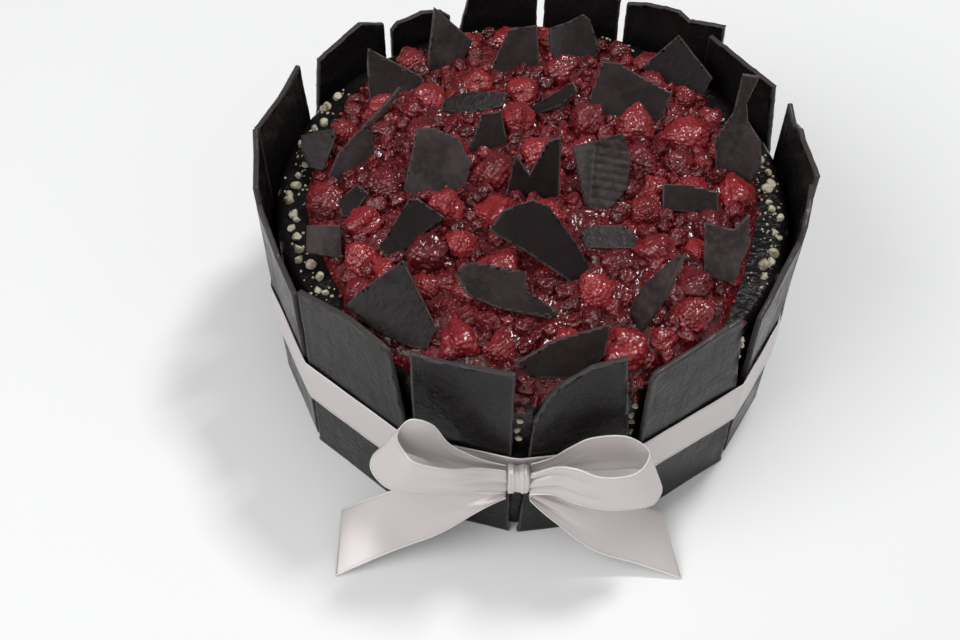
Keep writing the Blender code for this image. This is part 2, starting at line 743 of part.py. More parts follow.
def smooth_value(before, start, end, after, t):
    """A value part-way from start to end on a smooth curve through all four."""
    bend = 2 * before - 5 * start + 4 * end - after
    return start + (end - before) * t / 2 + bend * t * t / 2 + (3 * start - before - 3 * end + after) * t**3 / 2


def smooth_through(points, count):
    """count rows of values on a smooth curve through these rows."""
    ends = [points[0]] + list(points) + [points[-1]]
    made = []
    for step in range(count):
        along = step * (len(points) - 1) / (count - 1)
        index = min(int(along), len(points) - 2)
        t = along - index
        before, start, end, after = ends[index : index + 4]
        made.append([smooth_value(*four, t) for four in zip(before, start, end, after)])
    return made


def make_bow(group, finish):
    """The bow: a knot, two loops and two tails, whose tips lie on the table."""
    bm = bmesh.new()
    bmesh.ops.create_cube(bm, size=1.0)
    bm.transform(Matrix.Translation(KNOT_PLACE) @ Matrix.Diagonal((*KNOT_SIZE, 1.0)))
    bmesh.ops.bevel(bm, geom=bm.edges[:], offset=KNOT_BEVEL, segments=2, profile=0.5, affect="EDGES")
    placed("bow_knot", bm, group, finish)
    for name, edges in BOW_RIBBONS.items():
        stations = smooth_through([low + high for low, high in edges], BOW_STEPS * (len(edges) - 1) + 1)
        rows = [(Vector(row[:3]) * MM, Vector(row[3:]) * MM) for row in stations]
        ribbon_strip(name, rows, group, finish)


def main():
    clear_scene()
    group = collection("black_forest_cake")
    cutters = collection("shard_room", shown=False)
    glaze = material("dark glaze", (0.020, 0.013, 0.012), 0.25)
    chocolate = material("dark chocolate", (0.035, 0.025, 0.023), 0.4)
    raspberry = material("raspberry", (0.42, 0.015, 0.025), 0.3)
    satin = material("pale satin", (0.72, 0.66, 0.66), 0.35)
    berries = list(berry_places())
    add_nuts(make_cake(group, glaze), berries, glaze)
    make_panels(group, chocolate)
    make_shards(group, cutters, chocolate)
    make_fruit(group, cutters, berries, raspberry)
    bpy.data.collections.remove(cutters)
    make_ribbon_band(group, satin)
    make_bow(group, satin)


main()
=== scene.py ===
"""The finish of the black forest cake: snapped chocolate, glaze and chopped nuts, raspberries, satin bow.

Metres, +Z up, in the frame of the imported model. Turns round the cake are in degrees from the front
(-Y) towards the right (+X).
"""

import math
import random

import bmesh
import bpy
import numpy as np
from mathutils import Matrix, Vector, noise
from mathutils.bvhtree import BVHTree


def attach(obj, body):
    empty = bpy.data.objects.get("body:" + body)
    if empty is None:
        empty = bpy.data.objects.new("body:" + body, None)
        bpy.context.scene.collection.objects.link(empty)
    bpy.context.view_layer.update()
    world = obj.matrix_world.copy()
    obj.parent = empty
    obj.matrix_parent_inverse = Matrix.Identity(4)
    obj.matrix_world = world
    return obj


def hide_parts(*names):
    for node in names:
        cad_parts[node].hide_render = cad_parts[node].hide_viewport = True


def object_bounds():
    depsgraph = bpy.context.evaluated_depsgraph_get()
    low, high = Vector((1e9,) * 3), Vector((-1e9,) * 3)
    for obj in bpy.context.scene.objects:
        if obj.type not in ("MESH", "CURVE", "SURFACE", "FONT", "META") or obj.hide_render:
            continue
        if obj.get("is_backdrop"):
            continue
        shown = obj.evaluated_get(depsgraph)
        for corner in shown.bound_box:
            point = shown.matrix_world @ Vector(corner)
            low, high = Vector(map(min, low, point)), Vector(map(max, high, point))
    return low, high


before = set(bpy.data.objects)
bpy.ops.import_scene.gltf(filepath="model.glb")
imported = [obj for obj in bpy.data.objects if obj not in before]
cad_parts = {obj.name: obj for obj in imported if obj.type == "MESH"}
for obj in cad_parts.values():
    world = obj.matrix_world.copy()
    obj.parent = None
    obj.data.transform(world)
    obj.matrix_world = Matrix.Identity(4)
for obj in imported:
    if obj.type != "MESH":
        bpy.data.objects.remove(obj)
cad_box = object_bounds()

MM = 0.001
UP = Vector((0, 0, 1))

# The camera, at the height and slope from which the cake is seen.
CAMERA_PLACE = Vector((-0.0219, -0.409, 0.5334))
CAMERA_TILT = 37.513
CAMERA_ROLL = 0.61
CAMERA_LENS = 52.5

# The floor's half width, and the lights: the name, place, size and power of each.
FLOOR_REACH = 3.0
LIGHTS = (("window", (-0.88, -0.58, 1.08), 1.0, 10.0), ("lamp", (0.4, 0.35, 1.3), 0.22, 8.0))

# The glazed cake.
CAKE_RADIUS = 110 * MM
CAKE_HEIGHT = 90 * MM
CAKE_EDGE = 4 * MM
CAKE_SIDES = 200
GAP = 0.3 * MM

# The snapped chocolate: the size of its cells, how deep its edges are chipped, how wavy its faces are.
PANEL_CELL = 2.2 * MM
PANEL_CHIP = 1.3 * MM
PANEL_WAVE = 0.22 * MM
SHARD_CELL = 1.4 * MM
SHARD_CHIP = 0.7 * MM
SHARD_WAVE = 0.25 * MM
PANEL_LIP = 0.16 * MM
PANEL_FOOT = 3 * MM
FLAT_ANGLE = math.radians(2)
SIDE_LIMIT = 0.9
SHAVED_SHARD = "shard_13"
SHAVED_CELL = 0.7 * MM
# On the shaved shard, in mm: where the ridges begin, and how far apart they are.
RIDGES_FROM = -4
RIDGE_SPACING = 3.6

# How grey each shard is made, from 0 to 1, where it isn't the usual amount: partly the real greying of the
# chocolate, partly painted light and shade, some shards greyer as if lit and some darker as if shaded.
SHARD_BLOOM_AND_SHADE = {
    "shard_01": 0.5, "shard_05": 0.35, "shard_06": 0.4, "shard_07": 0.5, "shard_10": 0.0, "shard_12": 0.05,
    "shard_13": 0.8, "shard_14": 0.1, "shard_15": 0.8, "shard_16": 0.0, "shard_17": 0.3, "shard_19": 0.55,
    "shard_20": 0.8, "shard_21": 0.9, "shard_23": 0.0, "shard_24": 0.0, "shard_26": 0.5, "shard_27": 0.05,
}
USUAL_BLOOM_AND_SHADE = 0.2

# The fruit: the bed of crushed raspberries, and the berries in it.
FRUIT_RADIUS = 100 * MM
FRUIT_WAVE = 2.5 * MM
FRUIT_RISE = 7.5 * MM
FRUIT_LUMP = 1.6 * MM
FRONT_EDGE = 106.5 * MM
BARE_SIDES = 3.5 * MM
BED_CELLS = 280
BED_THICK = 2.0 * MM
BERRY_SIT = 3.5 * MM
BERRY_COUNT = 84
BERRY_TRIES = 4000
BERRY_SEED = 11
BERRY_SIZES = (12, 22)
BERRY_LEANS = (0.5, 2.0)
BERRY_NEARNESS = 0.46
BERRIES_A_PIECE = 36
CRUSHED_COUNT = 300
CRUSHED_TRIES = 6000
CRUSHED_SIT = 3.0 * MM
CRUSHED_SIZES = (7, 13)
CRUSHED_LEANS = (-0.5, 0.5)
CRUSHED_A_PIECE = 120
DRUPELET_COUNT = 800
DRUPELET_RADII = (0.8, 1.3)
DRUPELET_PITCH = 2.1 * MM
SEED_COUNT = 120
SEED_RADIUS = 0.48 * MM
# Bits of fruit that slid into the gaps between the front panels: each one's turn in degrees, then its
# distance from the middle, height and width in mm.
LEDGE_BITS = [
    (-26, 107, 91, 6), (-24.5, 107, 91, 5), (-25.5, 109, 88, 4),
    (-4.5, 107, 91, 6), (-2.5, 107, 91, 6), (-0.5, 107, 91, 6), (1.5, 107, 91, 5), (-3.3, 109, 87, 5),
    (19, 107, 91, 5), (20.5, 107, 90, 6), (22, 107, 91, 5), (20.5, 109, 86, 4), (49.5, 107, 91, 5),
]

# The chopped nuts: on the bare rim, as the turns they lie between and how many; and on the wall in the
# wider gaps between panels, as the gap's turn, how many, and the heights they stick between, in mm.
NUT_SEED = 5
NUT_RADII = (1.5, 2.5)
NUT_REACH = (100, 106)
RIM_NUTS = [((-125, -54), 23), ((62, 118), 18), ((135, 200), 4)]
WALL_NUT_RADII = (1.2, 1.7)
WALL_NUTS = [(-3.4, 3, (62, 84)), (20.4, 4, (60, 84)), (49.5, 5, (58, 86))]
CRUMB_STRETCHES = [(-128, -54), (60, 120), (132, 200)]
CRUMB_COUNT = 260
CRUMB_RADII = (0.35, 0.9)
CRUMB_LIMIT = 107

# The satin ribbon.
RIBBON_WIDTH = 25 * MM
RIBBON_THICK = 0.4 * MM
BAND_STEP = 2.5 * MM
BAND_CELLS = 12
BOW_CELLS = 20
ROWS_A_SPAN = 12
GATHER_REACH = 19 * MM
KNOT_PLACE = Vector((-6, -120, 53.5)) * MM
KNOT_SIZE = Vector((8.5, 7.8, 17)) * MM
KNOT_CELLS = 44
KNOT_SIDES = 56

# Each length of ribbon in the bow, in mm: points along its lower edge, and beside each the point on its
# upper edge. They begin at the knot; a loop also ends there.
BOW_RIBBONS = {
    "bow_loop_left": [
        ((-10.8, -122.5, 47), (-10.8, -121.5, 60)),
        ((-23, -124.5, 49), (-22, -121.5, 63)),
        ((-35, -125, 49), (-33, -125.5, 68.5)),
        ((-48, -125, 49.5), (-46, -126, 74.5)),
        ((-58.7, -124, 52.5), (-50.5, -122.3, 77.5)),
        ((-64.5, -120.5, 62), (-52.8, -119.5, 84)),
        ((-60, -117.2, 70), (-48, -117.2, 91.5)),
        ((-46.5, -116.9, 65), (-39.5, -117, 88)),
        ((-35, -116.8, 54), (-33, -117, 74)),
        ((-23.5, -116.8, 49), (-22.5, -117, 65)),
        ((-10.8, -117.4, 48), (-10.8, -117.4, 60.5)),
    ],
    "bow_loop_right": [
        ((-1.2, -122.5, 47), (-1.2, -121.5, 60)),
        ((8.5, -124, 49), (8, -122.5, 67)),
        ((17, -126, 45.5), (15.5, -125, 70)),
        ((29.5, -128.5, 44), (25.5, -128, 69)),
        ((39.5, -128, 44.5), (36.5, -127.3, 69.3)),
        ((48.3, -126.3, 46), (42.5, -123.8, 70.5)),
        ((51.2, -121, 51), (43.8, -119.3, 75)),
        ((43, -117, 57), (35, -117, 80.5)),
        ((27, -116.9, 55.5), (22, -117, 79.5)),
        ((15.5, -116.8, 53), (14, -117, 73)),
        ((7, -116.8, 49), (6.5, -117, 64.5)),
        ((-1.2, -117.4, 48), (-1.2, -117.4, 60.5)),
    ],
    "bow_tail_left": [
        ((-10.9, -122.5, 41.5), (-10.9, -119.5, 46.5)),
        ((-21.6, -123.5, 32.5), (-24, -118.5, 45.5)),
        ((-39.5, -127.5, 20), (-44, -113.8, 40)),
        ((-58.8, -130.4, 10), (-62.5, -112, 27)),
        ((-81.4, -136.7, 0.8), (-80, -109.5, 10)),
    ],
    "bow_tail_right": [
        ((-1.1, -122.5, 41.5), (-1.1, -119.5, 46.5)),
        ((9.7, -126, 29.5), (12, -118, 43.5)),
        ((26.2, -130.4, 14), (30, -114.2, 32.5)),
        ((46.2, -132.7, 6), (46, -111.3, 18.5)),
        ((63.9, -136.2, 0.8), (56.7, -109.6, 10)),
    ],
}


def around(turn, radius, height=0.0):
    """A point at this turn round the cake, in degrees from the front."""
    angle = math.radians(turn)
    return Vector((radius * math.sin(angle), -radius * math.cos(angle), height))


def turn_of(x, y):
    return math.degrees(math.atan2(x, -y))


def dressed(name, mesh, finish, slot, *nodes):
    """The object of this mesh in its finish, riding on the cake and standing for the nodes named."""
    mesh.materials.clear()
    mesh.materials.append(finish)
    obj = bpy.data.objects.new(name, mesh)
    bpy.context.scene.collection.objects.link(obj)
    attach(obj, "root")
    if nodes:
        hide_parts(*nodes)
    return obj


def meshed(bm, name):
    """A new mesh of what the bmesh holds; the bmesh is freed."""
    mesh = bpy.data.meshes.new(name)
    bm.to_mesh(mesh)
    bm.free()
    return mesh


def smoothed(mesh, crease):
    """The mesh shaded smooth, apart from edges sharper than this angle in degrees."""
    mesh.shade_smooth()
    mesh.set_sharp_from_angle(angle=math.radians(crease))
    return mesh


class Gathered:
    """Many small forms gathered into one mesh, with values at their points for the finishes to read."""

    def __init__(self, *values):
        self.points = []
        self.faces = []
        self.values = {name: [] for name in values}
        self.count = 0

    def add(self, points, faces, **values):
        self.points.append(points)
        self.faces.append(faces + self.count)
        self.count += len(points)
        for name, amounts in values.items():
            self.values[name].append(np.broadcast_to(amounts, len(points)))

    def mesh(self, name, crease=60):
        made = bpy.data.meshes.new(name)
        made.from_pydata(np.concatenate(self.points).tolist(), [], np.concatenate(self.faces).tolist())
        for value, amounts in self.values.items():
            layer = made.attributes.new(value, "FLOAT", "POINT")
            layer.data.foreach_set("value", np.concatenate(amounts).astype(np.float32))
        return smoothed(made, crease)


def ball(subdivisions):
    """The points and triangles of an even ball of radius 1."""
    bm = bmesh.new()
    bmesh.ops.create_icosphere(bm, subdivisions=subdivisions, radius=1.0)
    points = np.array([vertex.co for vertex in bm.verts])
    faces = np.array([[vertex.index for vertex in face.verts] for face in bm.faces])
    bm.free()
    return points, faces


def laid(points, place, turned, scale):
    """A form's points, scaled, turned and set in their place."""
    return points * scale @ np.array(turned.to_3x3()).T + np.array(place)


def tumbled(draw, low=0.0, high=math.pi):
    """A random turning: tipped by an angle between these, then given any heading."""
    heading = Matrix.Rotation(draw.uniform(0, math.tau), 4, "Z")
    return heading @ Matrix.Rotation(draw.uniform(low, high), 4, "X")


def ripple(point, size):
    """A smooth random value from 0 to 1 that changes over about this size."""
    return 0.5 + 0.5 * noise.noise(point / size)


def node_in(tree, kind, inputs=None, **settings):
    """A shader node of this kind, whose inputs are values or the outputs of other nodes."""
    made = tree.nodes.new(kind)
    for name, value in settings.items():
        setattr(made, name, value)
    for name, value in (inputs or {}).items():
        if isinstance(value, bpy.types.NodeSocket):
            tree.links.new(value, made.inputs[name])
        else:
            made.inputs[name].default_value = value
    return made


def calc(tree, operation, first, second=0.0, third=0.0, clamp=False):
    inputs = {0: first, 1: second}
    if operation == "MULTIPLY_ADD":
        inputs[2] = third
    return node_in(tree, "ShaderNodeMath", inputs, operation=operation, use_clamp=clamp).outputs[0]


def blended(tree, share, first, second, blend_type="MIX"):
    """Two colours mixed; a plain colour is given as three numbers."""
    inputs = {0: share}
    for index, colour in ((6, first), (7, second)):
        inputs[index] = (*colour, 1) if isinstance(colour, tuple) else colour
    return node_in(tree, "ShaderNodeMix", inputs, data_type="RGBA", blend_type=blend_type).outputs[2]


def ranged(tree, value, low, high, to_low=0.0, to_high=1.0):
    inputs = {"Value": value, "From Min": low, "From Max": high, "To Min": to_low, "To Max": to_high}
    return node_in(tree, "ShaderNodeMapRange", inputs, interpolation_type="SMOOTHSTEP").outputs["Result"]


def speckle(tree, place, size, detail=3.0, distortion=0.0):
    """Smooth noise whose spots are about this size."""
    inputs = {"Vector": place, "Scale": 1 / size, "Detail": detail, "Distortion": distortion}
    return node_in(tree, "ShaderNodeTexNoise", inputs).outputs["Fac"]


def place_in(tree):
    """Where on the object the shaded point is, in metres."""
    return node_in(tree, "ShaderNodeTexCoord").outputs["Object"]


def value_in(tree, name):
    """A value that the mesh holds at its points."""
    return node_in(tree, "ShaderNodeAttribute", attribute_name=name).outputs["Fac"]


def group_tree(name, inputs, outputs):
    """A new node group, with the (kind, name) of its inputs and outputs; its tree, inputs and output node."""
    tree = bpy.data.node_groups.new(name, "ShaderNodeTree")
    for in_out, sockets in (("INPUT", inputs), ("OUTPUT", outputs)):
        for kind, label in sockets:
            tree.interface.new_socket(name=label, in_out=in_out, socket_type=f"NodeSocket{kind}")
    return tree, tree.nodes.new("NodeGroupInput").outputs, tree.nodes.new("NodeGroupOutput").inputs


def set_outputs(tree, sockets, **values):
    for name, value in values.items():
        tree.links.new(value, sockets[name])


def bloom_and_light_group():
    """Chocolate poured on film and snapped: cloudy patches, fine mottles, pits, and paler broken edges,
    partly the broken surface and partly a painted highlight.
    """
    inputs = [("Color", "Dark"), ("Color", "Cloudy"), ("Color", "Snapped"), ("Float", "Gloss")]
    outputs = [("Color", "Color"), ("Float", "Roughness"), ("Float", "Height")]
    tree, given, result = group_tree("chocolate bloom", inputs, outputs)
    place = place_in(tree)
    clouds = ranged(tree, speckle(tree, place, 16 * MM, 4, 0.6), 0.4, 0.68)
    mottles = ranged(tree, speckle(tree, place, 2.6 * MM, 5), 0.42, 0.66)
    smears = node_in(tree, "ShaderNodeMapping", {"Vector": place, "Scale": (1, 1, 0.22)}).outputs[0]
    streaks = ranged(tree, speckle(tree, smears, 4 * MM, 4, 0.3), 0.45, 0.7)
    cells = {"Vector": place, "Scale": 1 / (5 * MM)}
    cells = node_in(tree, "ShaderNodeTexVoronoi", cells).outputs["Distance"]
    pits = calc(tree, "MULTIPLY", ranged(tree, cells, 0.08, 0.16, 1, 0), mottles)
    broken = calc(tree, "POWER", value_in(tree, "broken"), 2.5)
    # The grey level of each piece: real greying, and on the shards also painted light and shade.
    bloom_and_shade = value_in(tree, "bloom_and_shade")
    cloudy = calc(tree, "MULTIPLY_ADD", mottles, 0.3, calc(tree, "MULTIPLY", clouds, 0.5))
    cloudy = calc(tree, "MULTIPLY", calc(tree, "ADD", cloudy, 0.3), bloom_and_shade, clamp=True)
    colour = blended(tree, cloudy, given["Dark"], given["Cloudy"])
    # Broken edges take a paler colour: partly the broken surface, partly a painted highlight along the edges.
    colour = blended(tree, broken, colour, given["Snapped"])
    rough = calc(tree, "MULTIPLY_ADD", clouds, 0.16, given["Gloss"])
    rough = calc(tree, "MULTIPLY_ADD", streaks, 0.08, rough)
    height = calc(tree, "MULTIPLY_ADD", streaks, 0.25, calc(tree, "MULTIPLY", mottles, 0.22))
    height = calc(tree, "MULTIPLY_ADD", pits, -0.15, height)
    set_outputs(tree, result, Color=colour, Roughness=rough, Height=height)
    return tree


def juice_group():
    """Wet fruit: deep and bright red by its ripeness, with painted shade in its creases and between its
    drupelets, and fine skin under juice.
    """
    inputs = [("Color", "Deep"), ("Color", "Bright"), ("Color", "Crease"), ("Float", "Pulp Relief and Shade")]
    outputs = [("Color", "Color"), ("Float", "Roughness"), ("Float", "Height")]
    tree, given, result = group_tree("wet raspberry", inputs, outputs)
    place = place_in(tree)
    patches = speckle(tree, place, 7 * MM, 3, 0.4)
    skin = speckle(tree, place, 0.8 * MM, 3)
    grains = {"Vector": place, "Scale": 1 / (1.9 * MM), "Smoothness": 0.3, "Randomness": 0.9}
    grains = node_in(tree, "ShaderNodeTexVoronoi", grains, feature="SMOOTH_F1").outputs["Distance"]
    swell = ranged(tree, grains, 0.12, 0.55, 1, 0)
    pulp = calc(tree, "MULTIPLY", calc(tree, "SUBTRACT", 1.0, swell), given["Pulp Relief and Shade"])
    ripe = calc(tree, "MULTIPLY_ADD", patches, 1.2, -0.6)
    ripe = calc(tree, "ADD", value_in(tree, "ripeness"), ripe, clamp=True)
    # Painted shade: the form's creases and the gaps between the fine drupelets are coloured darker.
    crease = calc(tree, "MAXIMUM", value_in(tree, "crease"), pulp)
    crease = ranged(tree, crease, 0.3, 0.9, 0, 0.6)
    colour = blended(tree, ripe, given["Deep"], given["Bright"])
    colour = blended(tree, crease, colour, given["Crease"])
    rough = ranged(tree, patches, 0.3, 0.7, 0.14, 0.36)
    height = calc(tree, "MULTIPLY_ADD", skin, 0.25, calc(tree, "MULTIPLY", swell, given["Pulp Relief and Shade"]))
    set_outputs(tree, result, Color=colour, Roughness=rough, Height=height)
    return tree


def satin_group():
    """Satin ribbon: threads across its length, a corded selvage at both sides with a painted shade line just
    inside it, and faint uneven shine.
    """
    inputs = [("Color", "Face"), ("Color", "Selvage")]
    outputs = [("Color", "Color"), ("Float", "Roughness"), ("Float", "Height")]
    tree, given, result = group_tree("satin weave", inputs, outputs)
    place = place_in(tree)
    side = calc(tree, "ABSOLUTE", calc(tree, "SUBTRACT", value_in(tree, "across"), 0.5))
    selvage = ranged(tree, side, 0.465, 0.485)
    groove_shade = calc(tree, "MULTIPLY", ranged(tree, side, 0.44, 0.455), ranged(tree, side, 0.465, 0.475, 1, 0))
    thread = calc(tree, "MULTIPLY", value_in(tree, "along"), math.tau / (0.5 * MM))
    threads = calc(tree, "MULTIPLY_ADD", calc(tree, "SINE", thread), 0.5, 0.5)
    shine = speckle(tree, place, 9 * MM, 3)
    colour = blended(tree, selvage, given["Face"], given["Selvage"])
    # Painted shade: a thin darker line where each selvage meets the face.
    colour = blended(tree, calc(tree, "MULTIPLY", groove_shade, 0.3), colour, (0.36, 0.32, 0.32))
    rough = calc(tree, "MULTIPLY_ADD", shine, 0.12, 0.26)
    height = calc(tree, "MULTIPLY_ADD", selvage, 1.4, calc(tree, "MULTIPLY", threads, 0.25))
    set_outputs(tree, result, Color=colour, Roughness=rough, Height=height)
    return tree


def new_finish(name):
    """A new material, its node tree and its shader."""
    made = bpy.data.materials.new(name)
    made.use_nodes = True
    return made, made.node_tree, made.node_tree.nodes["Principled BSDF"]


def surfaced(tree, shader, colour, rough, height, relief):
    """Gives the shader this colour and roughness, and this height as relief."""
    bump = node_in(tree, "ShaderNodeBump", {"Height": height, "Distance": relief})
    tree.links.new(colour, shader.inputs["Base Color"])
    tree.links.new(rough, shader.inputs["Roughness"])
    tree.links.new(bump.outputs["Normal"], shader.inputs["Normal"])


def finish_of(name, group, given, relief, **constants):
    """A finish that takes its colour, roughness and relief from a group; constants set the shader itself."""
    made, tree, shader = new_finish(name)
    effect = node_in(tree, "ShaderNodeGroup", node_tree=group)
    for label, value in given.items():
        effect.inputs[label].default_value = (*value, 1) if isinstance(value, tuple) else value
    given_back = effect.outputs
    surfaced(tree, shader, given_back["Color"], given_back["Roughness"], given_back["Height"], relief)
    for label, value in constants.items():
        shader.inputs[label.replace("_", " ")].default_value = value
    return made


def glaze_finish(bloom_and_shade):
    """The dark glaze of the cake: glossy, hardly cloudy."""
    given = {"Dark": (0.007, 0.005, 0.0055), "Cloudy": (0.014, 0.011, 0.011), "Snapped": (0.02, 0.014, 0.013)}
    return finish_of("dark glaze", bloom_and_shade, {**given, "Gloss": 0.2}, 0.5 * MM, Specular_IOR_Level=0.2,
                     Coat_Weight=0.12, Coat_Roughness=0.08)


def nut_finish():
    """Chopped nuts: cream and faintly green flesh, with tan skin on some sides."""
    made, tree, shader = new_finish("chopped nut")
    place = place_in(tree)
    grain = speckle(tree, place, 0.7 * MM, 4)
    skin = ranged(tree, speckle(tree, place, 3 * MM, 2), 0.56, 0.62)
    flesh = blended(tree, value_in(tree, "ripeness"), (0.56, 0.54, 0.38), (0.66, 0.58, 0.46))
    flesh = blended(tree, calc(tree, "MULTIPLY", grain, 0.4), flesh, (0.36, 0.31, 0.2))
    colour = blended(tree, calc(tree, "MULTIPLY", skin, 0.6), flesh, (0.22, 0.15, 0.09))
    surfaced(tree, shader, colour, ranged(tree, grain, 0.3, 0.7, 0.4, 0.6), grain, 0.3 * MM)
    return made


def seed_finish():
    """Raspberry seeds: pale tan and pitted."""
    made, tree, shader = new_finish("raspberry seed")
    grain = speckle(tree, place_in(tree), 0.3 * MM, 3)
    colour = blended(tree, grain, (0.5, 0.3, 0.2), (0.62, 0.42, 0.3))
    surfaced(tree, shader, colour, ranged(tree, grain, 0.3, 0.7, 0.25, 0.45), grain, 0.1 * MM)
    return made


def shaved(along, up):
    """How far the shaved shard's face stands off, in mm: ragged ridges across it, beside a smooth strip."""
    if along < RIDGES_FROM:
        return 0.0
    slant = up + 0.12 * along + 1.6 * ripple(Vector((0.25 * along, up, 2)), 5)
    ridge = 1 - abs(2 * (slant / RIDGE_SPACING % 1) - 1) ** 3
    fine = ripple(Vector((along, 2.2 * up, 5)), 2.5)
    ragged = ripple(Vector((along, up, 9)), 4)
    return -0.9 * min(1.0, along - RIDGES_FROM) + ridge * (0.35 + 0.8 * ragged) + 0.35 * fine


def snapped(node, cell, chip, wave, finish, lip=0.0, bloom_and_shade=0.5):
    """A piece of chocolate in small cells, with chipped edges and slightly wavy faces.

    lip is how far its edges stand above its faces; the last argument is how grey its surface is made, from
    real greying and, on the shards, painted light and shade.
    """
    bm = bmesh.new()
    bm.from_mesh(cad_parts[node].data)
    bmesh.ops.remove_doubles(bm, verts=bm.verts[:], dist=0.01 * MM)
    bmesh.ops.dissolve_limit(bm, angle_limit=FLAT_ANGLE, verts=bm.verts[:], edges=bm.edges[:])
    out = max(bm.faces, key=lambda face: face.calc_area()).normal.copy()
    if out.z < 0:
        out.negate()
    right = UP.cross(out).normalized()
    for axis, size in ((right, cell), (out.cross(right), cell), (out, cell / 2)):
        reaches = [vertex.co.dot(axis) for vertex in bm.verts]
        low, high = min(reaches), max(reaches)
        count = min(math.ceil((high - low) / size), 2 if axis is out else 1000)
        for index in range(1, count):
            parts = bm.verts[:] + bm.edges[:] + bm.faces[:]
            at = axis * (low + (high - low) * index / count)
            bmesh.ops.bisect_plane(bm, geom=parts, dist=0.05 * MM, plane_co=at, plane_no=axis)
    bm.normal_update()
    broken = bm.verts.layers.float.new("broken")
    bloom_and_shade_layer = bm.verts.layers.float.new("bloom_and_shade")
    middle = sum((vertex.co for vertex in bm.verts), Vector()) / len(bm.verts)
    moves = []
    for vertex in bm.verts:
        vertex[bloom_and_shade_layer] = bloom_and_shade
        in_plane = vertex.co - out * vertex.co.dot(out)
        sides = [face.normal for face in vertex.link_faces if abs(face.normal.dot(out)) < SIDE_LIMIT]
        move = out * wave * (2 * ripple(in_plane, 22 * MM) - 1)
        if sides:
            vertex[broken] = 1.0
            outward = sum(sides, Vector())
            outward = (outward - out * outward.dot(out)).normalized()
            depth = 0.4 * ripple(in_plane, 11 * MM) + 0.35 * ripple(in_plane, 5 * MM)
            depth += 0.25 * ripple(in_plane, 1.9 * MM)
            move -= outward * chip * depth * (0.3 if vertex.co.z < PANEL_FOOT else 1)
        else:
            move -= vertex.normal * lip
        if node == SHAVED_SHARD and vertex.normal.dot(out) > 0.5:
            from_middle = (vertex.co - middle) / MM
            move += out * MM * shaved(from_middle.dot(right), from_middle.dot(out.cross(right)))
        moves.append(move)
    for vertex, move in zip(bm.verts, moves):
        vertex.co += move
    name = f"{node}_snapped"
    dressed(name, smoothed(meshed(bm, name), 38), finish, "chocolate", node)


def make_chocolate(panel_finish, shard_finish):
    for node in sorted(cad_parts):
        if node.startswith("panel_"):
            snapped(node, PANEL_CELL, PANEL_CHIP, PANEL_WAVE, panel_finish, lip=PANEL_LIP)
        elif node.startswith("shard_"):
            bloom_and_shade = SHARD_BLOOM_AND_SHADE.get(node, USUAL_BLOOM_AND_SHADE)
            cell = SHAVED_CELL if node == SHAVED_SHARD else SHARD_CELL
            snapped(node, cell, SHARD_CHIP, SHARD_WAVE, shard_finish, bloom_and_shade=bloom_and_shade)


def make_cake(finish):
    """The glazed cake: a turned form whose glaze ran a little unevenly."""
    corner = CAKE_RADIUS - CAKE_EDGE
    profile = [(0, CAKE_HEIGHT)] + [(reach * MM, CAKE_HEIGHT) for reach in range(80, 106, 2)]
    for step in range(7):
        angle = math.radians(90 - 15 * step)
        height = CAKE_HEIGHT - CAKE_EDGE * (1 - math.sin(angle))
        profile.append((corner + CAKE_EDGE * math.cos(angle), height))
    profile += [(CAKE_RADIUS, height * MM) for height in range(84, -1, -2)] + [(0, 0)]
    bm = bmesh.new()
    points = [bm.verts.new((x, 0, z)) for x, z in profile]
    edges = [bm.edges.new(pair) for pair in zip(points, points[1:])]
    bmesh.ops.spin(bm, geom=points + edges, axis=UP, cent=(0, 0, 0), angle=math.tau, steps=CAKE_SIDES)
    bmesh.ops.remove_doubles(bm, verts=bm.verts[:], dist=0.02 * MM)
    for vertex in bm.verts:
        flat = vertex.co.z > CAKE_HEIGHT - CAKE_EDGE
        rim = math.hypot(vertex.co.x, vertex.co.y)
        if rim < 80 * MM:
            continue
        inward = 0.5 * MM * ripple(vertex.co, 8 * MM) + 0.25 * MM * ripple(vertex.co, 2.5 * MM)
        vertex.co.x -= inward * vertex.co.x / rim
        vertex.co.y -= inward * vertex.co.y / rim
        if flat:
            vertex.co.z += GAP - 0.9 * MM * ripple(vertex.co, 7 * MM)
    bm.normal_update()
    bmesh.ops.recalc_face_normals(bm, faces=bm.faces)
    dressed("cake_glazed", smoothed(meshed(bm, "cake_glazed"), 50), finish, "glaze", "cake")


def fruit_edge(turn):
    """How far out the fruit reaches here: less at both sides, and at the front almost to the panels."""
    angle = math.radians(turn)
    wave = FRUIT_WAVE * math.sin(5 * angle + 1) * math.cos(3 * angle)
    edge = FRUIT_RADIUS - BARE_SIDES * math.sin(angle) ** 2 + wave
    front = min(1.0, max(0.0, (math.cos(angle) - 0.6) / 0.17))
    return edge + (FRONT_EDGE - edge) * front


def fruit_level(x, y):
    """The height of the crushed fruit between the berries."""
    share = math.hypot(x, y) / fruit_edge(turn_of(x, y))
    lump = noise.noise(Vector((x, y, 0)) / (14 * MM))
    return CAKE_HEIGHT + GAP + FRUIT_RISE * max(0.0, 1 - share**8) + FRUIT_LUMP * lump * (1 - share**4)


